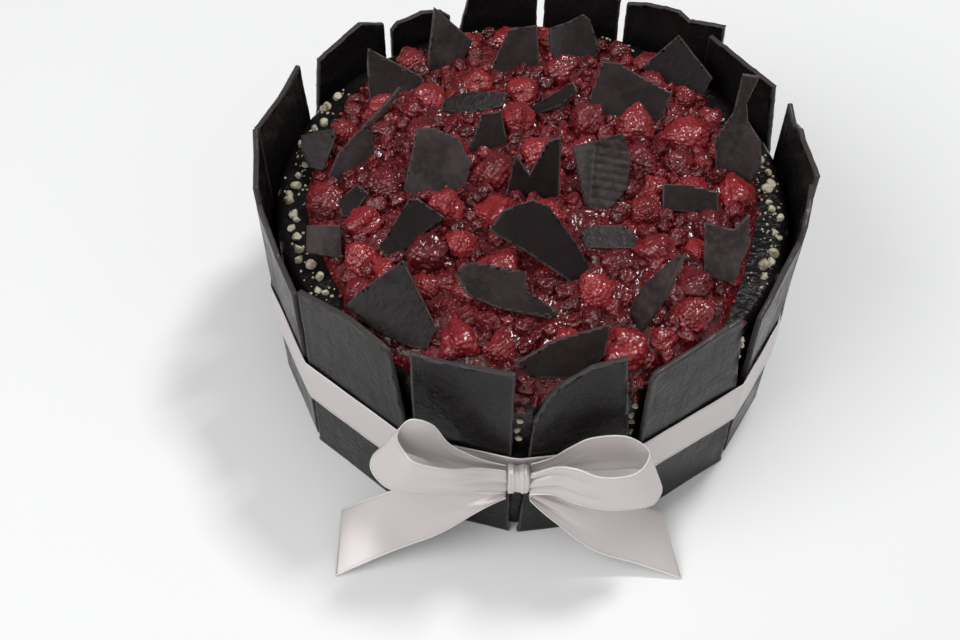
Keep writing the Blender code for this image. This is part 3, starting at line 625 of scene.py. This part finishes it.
def berry_plan():
    """x, y and width of every berry, in metres: the widest first, each where there is still room."""
    draw = random.Random(BERRY_SEED)
    narrow, wide = BERRY_SIZES
    plan = []
    for _ in range(BERRY_TRIES):
        if len(plan) >= BERRY_COUNT:
            break
        width = (wide - (wide - narrow) * len(plan) / BERRY_COUNT) * draw.uniform(0.94, 1.06) * MM
        turn, reach = draw.uniform(-180, 180), math.sqrt(draw.random())
        spot = around(turn, reach * (fruit_edge(turn) - 0.45 * width))
        nearest = [math.hypot(spot.x - x, spot.y - y) - BERRY_NEARNESS * (width + w) for x, y, w in plan]
        if min(nearest, default=1) > 0:
            plan.append((spot.x, spot.y, width))
    return plan


def shard_search():
    """A search tree of the shards' faces."""
    points, faces = [], []
    for name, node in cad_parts.items():
        if name.startswith("shard_"):
            base = len(points)
            points += [vertex.co.copy() for vertex in node.data.vertices]
            faces += [[base + index for index in face.vertices] for face in node.data.polygons]
    return BVHTree.FromPolygons(points, faces)


def clear_of_shards(start, width, shards, sink=0.6):
    """The place and width of a berry moved out of the shards, or None where it finds no room."""
    place = start.copy()
    for _ in range(10):
        near, normal, _, gap = shards.find_nearest(place)
        away = place - near
        if away.dot(normal) < 0:
            away, gap = normal.copy(), -gap
        room = 0.42 * width
        if gap >= room:
            kept = -sink * width < place.z - start.z < 0.2 * width
            return (place, width) if kept else None
        place += away.normalized() * (room - gap)
        width *= 0.96
    return None


def berry_places(shards):
    """(place, turned, width) of each berry that finds room between the shards."""
    draw = random.Random(BERRY_SEED + 1)
    for x, y, width in berry_plan():
        turned = tumbled(draw, *BERRY_LEANS)
        start = Vector((x, y, fruit_level(x, y) + BERRY_SIT))
        found = clear_of_shards(start, width, shards)
        if found and math.hypot(found[0].x, found[0].y) < CAKE_RADIUS - 0.55 * found[1] - 1.2 * MM:
            yield found[0], turned, found[1]


def crushed_places(berries, shards):
    """(place, turned, width) of the crushed berries that lie low between the others."""
    draw = random.Random(BERRY_SEED + 2)
    made = []
    for _ in range(CRUSHED_TRIES):
        if len(made) >= CRUSHED_COUNT:
            break
        width = draw.uniform(*CRUSHED_SIZES) * MM
        turn, reach = draw.uniform(-180, 180), math.sqrt(draw.random())
        spot = around(turn, reach * (fruit_edge(turn) - 0.5 * width))
        turned = tumbled(draw, *CRUSHED_LEANS)
        others = [((spot - place).to_2d().length, wide) for place, _, wide in berries]
        fellows = [((spot - place).to_2d().length, wide) for place, _, wide in made]
        if any(gap < 0.32 * (width + wide) for gap, wide in others):
            continue
        if any(gap < 0.34 * (width + wide) for gap, wide in fellows):
            continue
        found = clear_of_shards(spot + UP * (fruit_level(spot.x, spot.y) + CRUSHED_SIT), width, shards, 0.9)
        if found:
            made.append((found[0], turned, found[1]))
    for turn, radius, height, width in LEDGE_BITS:
        made.append((around(turn, radius * MM, height * MM), tumbled(draw), width * MM))
    return made


def drupelet_centres(rings, draw):
    """Where a raspberry's drupelets sit on a ball: in staggered rings."""
    centres = []
    for ring in range(rings):
        polar = math.pi * (ring + 0.5) / rings
        count = max(3, round(2 * rings * math.sin(polar)))
        for step in range(count):
            turn = math.tau * (step + 0.5 * (ring % 2) + draw.uniform(-0.16, 0.16)) / count
            tilt = polar + draw.uniform(-0.05, 0.05)
            centres.append((math.sin(tilt) * math.cos(turn), math.sin(tilt) * math.sin(turn), math.cos(tilt)))
    return np.array(centres)


def raspberry_form(points, rings, draw, slump):
    """A raspberry's points and the depth of its creases, which the finish paints as shade; slump is how far
    it has collapsed.
    """
    centres = drupelet_centres(rings, draw)
    nearest = np.clip(points @ centres.T, -1, 1)
    own = nearest.argmax(axis=1)
    apart = np.arccos(nearest[np.arange(len(points)), own])
    size = 1.25 * math.pi / rings / 2
    swell = np.sqrt(np.clip(1 - (apart / size) ** 2, 0.06, 1))
    fullness = np.array([draw.uniform(0.65, 1.0) for _ in centres])[own]
    depth = 2.4 / rings * (1 - 0.25 * slump)
    shift = Vector((draw.uniform(-9, 9), draw.uniform(-9, 9), draw.uniform(-9, 9)))
    sag = np.array([noise.noise(Vector(point) * 1.3 + shift) for point in points])
    form = points * (0.83 + depth * swell * fullness + (0.16 + 0.24 * slump) * sag)[:, None]
    taper = 1 - 0.18 * (points[:, 2] + 1)
    form[:, 0] *= 1.12 * taper
    form[:, 1] *= 1.12 * taper * (1 - 0.12 * slump)
    core = np.clip(1 - np.hypot(points[:, 0], points[:, 1]) / 0.45, 0, 1) * (points[:, 2] < 0)
    form[:, 2] += 0.55 * core * (1 - slump)
    return form, 1 - swell


def make_berries(places, finish):
    """The raspberries that keep their shape, in a few pieces."""
    points, faces = ball(5)
    draw = random.Random(BERRY_SEED + 3)
    kinds = [raspberry_form(points, rings, draw, slump) for rings, slump in
             ((11, 0.2), (12, 0.6), (11, 0.9), (13, 0.1), (12, 0.5), (11, 1.0), (13, 0.7), (12, 0.3))]
    for first in range(0, len(places), BERRIES_A_PIECE):
        heap = Gathered("ripeness", "crease")
        for place, turned, width in places[first:first + BERRIES_A_PIECE]:
            form, crease = draw.choice(kinds)
            if draw.random() < 0.25:
                turned = turned @ Matrix.Rotation(math.pi, 4, "X")
            scale = width / 2 * np.array([1, draw.uniform(0.9, 1.05), draw.uniform(0.88, 1.08)])
            form = laid(form, place, turned, scale)
            form[:, 2] += (place.z - form[:, 2]) * draw.uniform(0.05, 0.3) - draw.uniform(0, 2.2) * MM
            heap.add(form, faces, ripeness=draw.uniform(0, 1), crease=crease)
        name = f"raspberries_{first // BERRIES_A_PIECE + 1}"
        dressed(name, heap.mesh(name), finish, "fruit", "fruit")


def make_crushed(places, finish):
    """Raspberries crushed flat between the others."""
    points, faces = ball(4)
    draw = random.Random(BERRY_SEED + 4)
    kinds = [raspberry_form(points, rings, draw, 1.0) for rings in (7, 8, 7, 8, 9)]
    for first in range(0, len(places), CRUSHED_A_PIECE):
        heap = Gathered("ripeness", "crease")
        for place, turned, width in places[first:first + CRUSHED_A_PIECE]:
            form, crease = draw.choice(kinds)
            scale = width / 2 * np.array([1.1, draw.uniform(0.8, 1.1), draw.uniform(0.55, 0.85)])
            heap.add(laid(form, place, turned, scale), faces, ripeness=draw.uniform(0, 1), crease=crease)
        name = f"raspberries_crushed_{first // CRUSHED_A_PIECE + 1}"
        dressed(name, heap.mesh(name), finish, "fruit", "fruit")


def on_disc(a, b):
    """A square's point laid onto a round disc of radius 1."""
    if abs(a) > abs(b):
        reach, angle = a, math.pi / 4 * b / a
    elif b:
        reach, angle = b, math.pi / 2 - math.pi / 4 * a / b
    else:
        return 0.0, 0.0
    return reach * math.cos(angle), reach * math.sin(angle)


def drupelet_relief(x, y):
    """How far the crushed fruit swells here, from 0 to 1, over drupelets about 2 mm wide."""
    row, column = math.floor(y / DRUPELET_PITCH), math.floor(x / DRUPELET_PITCH)
    best = 0.0
    for j in (row - 1, row, row + 1):
        for i in (column - 1, column, column + 1):
            shift = noise.cell_vector(Vector((i, j, 3)))
            dx = x / DRUPELET_PITCH - (i + 0.15 + 0.7 * shift.x)
            dy = y / DRUPELET_PITCH - (j + 0.15 + 0.7 * shift.y)
            size = 0.5 + 0.3 * shift.z
            best = max(best, (1 - (dx * dx + dy * dy) / size**2) * (0.5 + 0.5 * shift.z))
    return math.sqrt(best)


def make_bed(finish):
    """The bed of crushed fruit: a round sheet of drupelets and pulp, closed below."""
    bm = bmesh.new()
    bmesh.ops.create_grid(bm, x_segments=BED_CELLS, y_segments=BED_CELLS, size=1.0)
    crease = bm.verts.layers.float.new("crease")
    ripeness = bm.verts.layers.float.new("ripeness")
    bottom = CAKE_HEIGHT - 0.2 * MM
    rim = [edge for edge in bm.edges if edge.is_boundary]
    for vertex in bm.verts:
        x, y = on_disc(vertex.co.x, vertex.co.y)
        reach = fruit_edge(turn_of(x, y))
        share = math.hypot(x, y)
        x, y = x * reach, y * reach
        flat = Vector((x, y, 0))
        lumpy = ripple(flat, 9 * MM)
        swell = drupelet_relief(x, y) * (0.45 + 0.55 * lumpy)
        thick = BED_THICK + (3.4 * lumpy - 1.7 + 0.9 * swell) * MM
        level = fruit_level(x, y) + thick * (1 - share**10)
        vertex.co = (x, y, max(level, bottom + 0.4 * MM))
        # Where no drupelet swells, the finish paints shade.
        vertex[crease] = 1 - swell
        vertex[ripeness] = ripple(flat + UP, 12 * MM)
    skirt = bmesh.ops.extrude_edge_only(bm, edges=rim)["geom"]
    hem = [item for item in skirt if isinstance(item, bmesh.types.BMVert)]
    for vertex in hem:
        vertex.co.z = bottom
    bmesh.ops.edgeloop_fill(bm, edges=[edge for edge in bm.edges if edge.is_boundary])
    bm.normal_update()
    bmesh.ops.recalc_face_normals(bm, faces=bm.faces)
    dressed("fruit_bed", smoothed(meshed(bm, "fruit_bed"), 70), finish, "fruit", "fruit")


def make_drupelets(berries, finish, seed_look):
    """Loose drupelets and seeds scattered through the crushed fruit."""
    points, faces = ball(2)
    draw = random.Random(BERRY_SEED + 5)
    drupelets, seeds = Gathered("ripeness", "crease"), Gathered()
    while len(drupelets.points) < DRUPELET_COUNT:
        turn, reach = draw.uniform(-180, 180), math.sqrt(draw.random())
        spot = around(turn, reach * (fruit_edge(turn) + 1.5 * MM))
        if any((spot - place).to_2d().length < 0.36 * width for place, _, width in berries):
            continue
        radius = draw.uniform(*DRUPELET_RADII) * MM
        place = spot + UP * (fruit_level(spot.x, spot.y) + draw.uniform(0.4, 3.0) * MM * (1.15 - reach**6))
        shape = radius * np.array([1, draw.uniform(0.75, 1), draw.uniform(0.7, 1)])
        drupelets.add(laid(points, place, tumbled(draw), shape), faces,
                      ripeness=draw.uniform(0, 1), crease=draw.uniform(0, 0.4))
        if len(seeds.points) < SEED_COUNT and draw.random() < 0.3:
            shape = SEED_RADIUS * np.array([1.3, 0.75, 0.7])
            seeds.add(laid(points, place + UP * radius, tumbled(draw), shape), faces)
    dressed("raspberry_drupelets", drupelets.mesh("raspberry_drupelets"), finish, "fruit", "fruit")
    dressed("raspberry_seeds", seeds.mesh("raspberry_seeds"), seed_look, "fruit", "fruit")


def nut_places():
    """(place, radius) of the nut pieces: on the bare rim of the top, and on the wall in the wider gaps."""
    draw = random.Random(NUT_SEED)
    for (start, end), count in RIM_NUTS:
        for index in range(count):
            turn = start + (end - start) * (index + draw.uniform(0.15, 0.85)) / count
            radius = draw.uniform(*NUT_RADII) * MM
            inner = fruit_edge(turn) + radius + 2 * GAP
            reach = max(inner, draw.uniform(*NUT_REACH) * MM)
            yield around(turn, reach, CAKE_HEIGHT + 0.3 * radius), radius
    for turn, count, (low, high) in WALL_NUTS:
        for index in range(count):
            height = low + (high - low) * (index + draw.uniform(0.2, 0.8)) / count
            radius = draw.uniform(*WALL_NUT_RADII) * MM
            yield around(turn + draw.uniform(-0.3, 0.3), CAKE_RADIUS - 0.2 * radius, height * MM), radius


def chopped_form(points, draw):
    """A chip of nut: a pebble with flat cuts."""
    form = points * np.array([1, draw.uniform(0.7, 1), draw.uniform(0.6, 0.85)])
    for _ in range(8):
        way = np.array([draw.gauss(0, 1) for _ in range(3)])
        way /= np.linalg.norm(way)
        form = form - np.outer(np.maximum(form @ way - draw.uniform(0.45, 0.8), 0), way)
    return form


def make_nuts(berries, finish):
    """The chopped nuts, and their crumbs on the rim."""
    points, faces = ball(3)
    crumb_points, crumb_faces = ball(2)
    draw = random.Random(NUT_SEED + 1)
    nuts = Gathered("ripeness")
    for place, radius in nut_places():
        if any((place - berry).length < radius + 0.58 * width for berry, _, width in berries):
            continue
        form = chopped_form(points, draw)
        nuts.add(laid(form, place, tumbled(draw), radius * 1.15), faces, ripeness=draw.random())
    for _ in range(CRUMB_COUNT):
        turn = draw.uniform(*draw.choice(CRUMB_STRETCHES))
        radius = draw.uniform(*CRUMB_RADII) * MM
        reach = draw.uniform(fruit_edge(turn) / MM, CRUMB_LIMIT) * MM
        place = around(turn, reach, CAKE_HEIGHT + 0.3 * radius)
        nuts.add(laid(chopped_form(crumb_points, draw), place, tumbled(draw), radius), crumb_faces,
                 ripeness=draw.random())
    dressed("chopped_nuts", nuts.mesh("chopped_nuts", 25), finish, "glaze", "cake")


def smooth_value(before, start, end, after, t):
    """A value part-way from start to end on a smooth curve through all four."""
    bend = 2 * before - 5 * start + 4 * end - after
    twist = 3 * start - before - 3 * end + after
    return start + (end - before) * t / 2 + bend * t**2 / 2 + twist * t**3 / 2


def smooth_through(points, count):
    """count rows of values on a smooth curve through these rows."""
    ends = [points[0]] + list(points) + [points[-1]]
    made = []
    for step in range(count):
        along = step * (len(points) - 1) / (count - 1)
        index = min(int(along), len(points) - 2)
        before, start, end, after = ends[index:index + 4]
        made.append([smooth_value(*four, along - index) for four in zip(before, start, end, after)])
    return made


def ribbon_mesh(name, rows, cells, pleats=None, closed=False):
    """A ribbon through these rows, each the points of its lower and its upper edge.

    pleats gives, for a row and a share of the width, how far the cloth stands off there.
    """
    lows = np.array([row[0] for row in rows])
    highs = np.array([row[1] for row in rows])
    shares = np.linspace(0, 1, cells + 1)
    points = lows[:, None] + (highs - lows)[:, None] * shares[None, :, None]
    middle = points.mean(axis=1)
    if closed:
        ahead = np.roll(middle, -1, axis=0) - np.roll(middle, 1, axis=0)
    else:
        ahead = np.gradient(middle, axis=0)
    outward = np.cross(ahead, highs - lows)
    outward /= np.linalg.norm(outward, axis=1)[:, None]
    steps = np.linalg.norm(np.diff(middle, axis=0), axis=1)
    along = np.concatenate([[0], np.cumsum(steps)])
    if pleats is not None:
        offsets = np.array([[pleats(reach, share) for share in shares] for reach in along])
        points = points + outward[:, None] * offsets[:, :, None]
    bm = bmesh.new()
    across_layer = bm.verts.layers.float.new("across")
    along_layer = bm.verts.layers.float.new("along")
    grid = []
    for row, reach in zip(points, along):
        line = []
        for point, share in zip(row, shares):
            vertex = bm.verts.new(point)
            vertex[across_layer] = share
            vertex[along_layer] = reach
            line.append(vertex)
        grid.append(line)
    pairs = list(zip(grid, grid[1:]))
    if closed:
        pairs.append((grid[-1], grid[0]))
    for first, second in pairs:
        for a, b, c, d in zip(first, first[1:], second[1:], second):
            bm.faces.new((a, b, c, d))
    return smoothed(meshed(bm, name), 70), along[-1]


def as_cloth(mesh, finish, node):
    """A ribbon mesh given its thickness, in the place of its node."""
    piece = dressed(mesh.name, mesh, finish, "ribbon", node)
    thickness = piece.modifiers.new("Thickness", "SOLIDIFY")
    thickness.thickness = RIBBON_THICK
    thickness.offset = 0
    return piece


def band_route():
    """The band's corners in turn, as the middle of its thickness, with its lower and upper edge there."""
    corners = {}
    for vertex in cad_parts["ribbon_band"].data.vertices:
        turn = round(turn_of(vertex.co.x, vertex.co.y), 1)
        corners.setdefault(turn, []).append(vertex.co.copy())
    merged = []
    for turn in sorted(corners):
        if merged and turn - merged[-1][0] < 0.6:
            merged[-1][1].extend(corners[turn])
        else:
            merged.append([turn, list(corners[turn])])
    route = []
    for _, points in merged:
        middle = sum(points, Vector()) / len(points)
        low, high = min(point.z for point in points), max(point.z for point in points)
        route.append((Vector((middle.x, middle.y, low)), Vector((middle.x, middle.y, high))))
    return route


def make_band(finish):
    """The ribbon round the cake, taut over the panels, bent at their corners and shaded smooth there."""
    route = band_route()
    rows = []
    for (low, high), (next_low, next_high) in zip(route, route[1:] + route[:1]):
        count = max(2, round((next_low - low).length / BAND_STEP))
        for index in range(count):
            share = index / count
            rows.append((low.lerp(next_low, share), high.lerp(next_high, share)))

    def ease(reach, share):
        point = Vector((reach, share * RIBBON_WIDTH, 0))
        return 0.25 * MM * noise.noise(point / (14 * MM))

    mesh, length = ribbon_mesh("ribbon_band_satin", rows, BAND_CELLS, ease, closed=True)
    piece = as_cloth(mesh, finish, "ribbon_band")


def make_bow(finish):
    """The two loops and two tails, gathered into pleats where they meet the knot."""
    for name, edges in BOW_RIBBONS.items():
        loop = "loop" in name
        rows = smooth_through([low + high for low, high in edges], ROWS_A_SPAN * (len(edges) - 1) + 1)
        rows = [(Vector(row[:3]) * MM, Vector(row[3:]) * MM) for row in rows]
        length = sum((sum(b, Vector()) - sum(a, Vector())).length / 2 for a, b in zip(rows, rows[1:]))
        phase = len(name)

        def gathers(reach, share):
            from_knot = min(reach, length - reach) if loop else reach
            tight = math.exp(-((from_knot / GATHER_REACH) ** 2))
            fold = math.sin(math.tau * 2.3 * share + phase)
            fold += 0.45 * math.sin(math.tau * 5.1 * share + 2 * phase)
            loose = noise.noise(Vector((reach / (20 * MM), share * 1.4, phase)))
            deep = 0.6 if loop and reach > length / 2 else 1.1
            return (deep * tight * fold + 0.7 * (1 - tight) * loose) * MM

        mesh, length = ribbon_mesh(f"{name}_satin", rows, BOW_CELLS, gathers)
        piece = as_cloth(mesh, finish, name)


def make_knot(finish):
    """The knot: ribbon drawn tight round the bow's middle, in close upright pleats."""
    bm = bmesh.new()
    across_layer = bm.verts.layers.float.new("across")
    along_layer = bm.verts.layers.float.new("along")
    rings = []
    for step in range(-3, KNOT_CELLS + 4):
        share = min(max(step / KNOT_CELLS, 0), 1)
        tuck = max(-step, step - KNOT_CELLS, 0) / 3.5
        x = (share - 0.5) * KNOT_SIZE.x * (1 - 0.06 * tuck)
        waist = 1 - 0.10 * math.cos(math.pi * (share - 0.5)) - 0.12 * abs(2 * share - 1) ** 6
        ring = []
        for side in range(KNOT_SIDES):
            angle = math.tau * side / KNOT_SIDES
            wobble = 0.35 * math.sin(2 * angle + 1) + 0.2 * math.sin(3 * angle)
            pleat = math.sin(math.tau * 1.7 * share + wobble)
            pleat += 0.5 * math.sin(math.tau * 4.6 * share - 2 * wobble)
            size = waist * (1 - tuck) + 0.045 * pleat * (1 - tuck)
            y, z = math.cos(angle), math.sin(angle)
            y, z = math.copysign(abs(y) ** 0.7, y), math.copysign(abs(z) ** 0.7, z)
            point = Vector((x, y * KNOT_SIZE.y / 2 * size, z * KNOT_SIZE.z / 2 * size))
            vertex = bm.verts.new(KNOT_PLACE + point)
            vertex[across_layer] = 0.5 + 0.9 * (share - 0.5)
            vertex[along_layer] = angle * 6 * MM
            ring.append(vertex)
        rings.append(ring)
    for first, second in zip(rings, rings[1:]):
        for a, b, c, d in zip(first, first[1:] + first[:1], second[1:] + second[:1], second):
            bm.faces.new((a, b, c, d))
    bm.faces.new(rings[0])
    bm.faces.new(rings[-1])
    bm.normal_update()
    bmesh.ops.recalc_face_normals(bm, faces=bm.faces)
    dressed("bow_knot_satin", smoothed(meshed(bm, "bow_knot_satin"), 70), finish, "ribbon", "bow_knot")


def make_studio():
    """A pale floor, soft light from all round, a wide window light, a small lamp and the camera."""
    camera = bpy.data.objects.new("camera", bpy.data.cameras.new("camera"))
    camera.data.lens = CAMERA_LENS
    camera.data.clip_start = 0.01
    tilt = Matrix.Rotation(math.radians(CAMERA_TILT), 4, "X")
    roll = Matrix.Rotation(math.radians(CAMERA_ROLL), 4, "Z")
    camera.matrix_world = Matrix.Translation(CAMERA_PLACE) @ tilt @ roll
    bpy.context.scene.collection.objects.link(camera)
    bpy.context.scene.camera = camera

    bm = bmesh.new()
    bmesh.ops.create_grid(bm, x_segments=8, y_segments=8, size=FLOOR_REACH)
    floor = bpy.data.objects.new("floor", meshed(bm, "floor"))
    bpy.context.scene.collection.objects.link(floor)
    pale, _, shader = new_finish("pale floor")
    shader.inputs["Base Color"].default_value = (0.9, 0.9, 0.9, 1)
    shader.inputs["Roughness"].default_value = 0.8
    floor.data.materials.append(pale)
    floor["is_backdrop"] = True

    world = bpy.data.worlds.new("studio")
    world.use_nodes = True
    tree = world.node_tree
    away = node_in(tree, "ShaderNodeTexCoord").outputs["Generated"]
    back = node_in(tree, "ShaderNodeSeparateXYZ", {"Vector": away}).outputs["Y"]
    glow = blended(tree, ranged(tree, back, -0.5, 0.6), (0.62, 0.63, 0.63), (0.15, 0.15, 0.155))
    tree.links.new(glow, tree.nodes["Background"].inputs["Color"])
    bpy.context.scene.world = world

    for name, place, size, power in LIGHTS:
        light = bpy.data.objects.new(name, bpy.data.lights.new(name, "AREA"))
        light.data.size = size
        light.data.energy = power
        light.location = place
        light.rotation_euler = (Vector((0, 0, 0.05)) - light.location).to_track_quat("-Z", "Y").to_euler()
        bpy.context.scene.collection.objects.link(light)
    bpy.context.scene.view_settings.view_transform = "Standard"


def main():
    make_studio()
    bloom_and_shade = bloom_and_light_group()
    # Each chocolate's colour on its broken edges is paler than its face, partly as a painted highlight.
    panel_look = finish_of(
        "panel chocolate", bloom_and_shade,
        {"Dark": (0.0055, 0.0042, 0.0045), "Cloudy": (0.02, 0.0175, 0.0175), "Snapped": (0.055, 0.047, 0.046),
         "Gloss": 0.2},
        0.3 * MM, Specular_IOR_Level=0.16,
    )
    shard_look = finish_of(
        "shard chocolate", bloom_and_shade,
        {"Dark": (0.0095, 0.0052, 0.0057), "Cloudy": (0.075, 0.055, 0.056), "Snapped": (0.07, 0.052, 0.05),
         "Gloss": 0.3},
        0.2 * MM, Specular_IOR_Level=0.15,
    )
    make_chocolate(panel_look, shard_look)
    make_cake(glaze_finish(bloom_and_shade))

    # Each raspberry finish darkens creases and the gaps between drupelets with a painted shade colour.
    juice = juice_group()
    wet = {"Subsurface_Weight": 0.25, "Subsurface_Scale": 1.5 * MM, "IOR": 1.38, "Coat_Weight": 0.85,
           "Coat_Roughness": 0.1, "Coat_IOR": 1.36}
    whole_look = finish_of(
        "raspberry", juice,
        {"Deep": (0.095, 0.006, 0.01), "Bright": (0.29, 0.02, 0.024), "Crease": (0.05, 0.003, 0.005),
         "Pulp Relief and Shade": 0.3},
        0.4 * MM, **wet,
    )
    bed_look = finish_of(
        "raspberry pulp", juice,
        {"Deep": (0.085, 0.005, 0.008), "Bright": (0.27, 0.018, 0.022), "Crease": (0.035, 0.002, 0.004),
         "Pulp Relief and Shade": 0.8},
        0.6 * MM, **wet,
    )
    loose_look = finish_of(
        "raspberry drupelet", juice,
        {"Deep": (0.13, 0.007, 0.012), "Bright": (0.36, 0.04, 0.045), "Crease": (0.05, 0.002, 0.004),
         "Pulp Relief and Shade": 0.0},
        0.4 * MM, **wet,
    )
    shards = shard_search()
    berries = list(berry_places(shards))
    crushed = crushed_places(berries, shards)
    make_bed(bed_look)
    make_berries(berries, whole_look)
    make_crushed(crushed, bed_look)
    make_drupelets(berries, loose_look, seed_finish())
    make_nuts(berries, nut_finish())

    satin = finish_of(
        "pale satin", satin_group(), {"Face": (0.6, 0.55, 0.54), "Selvage": (0.8, 0.76, 0.76)}, 0.12 * MM,
        Metallic=0.3, Sheen_Weight=0.15,
    )
    make_band(satin)
    make_bow(satin)
    make_knot(satin)


main()
boxes = {"cad": cad_box, "visual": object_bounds()}
{name: [[float(x) for x in corner] for corner in box] for name, box in boxes.items()}
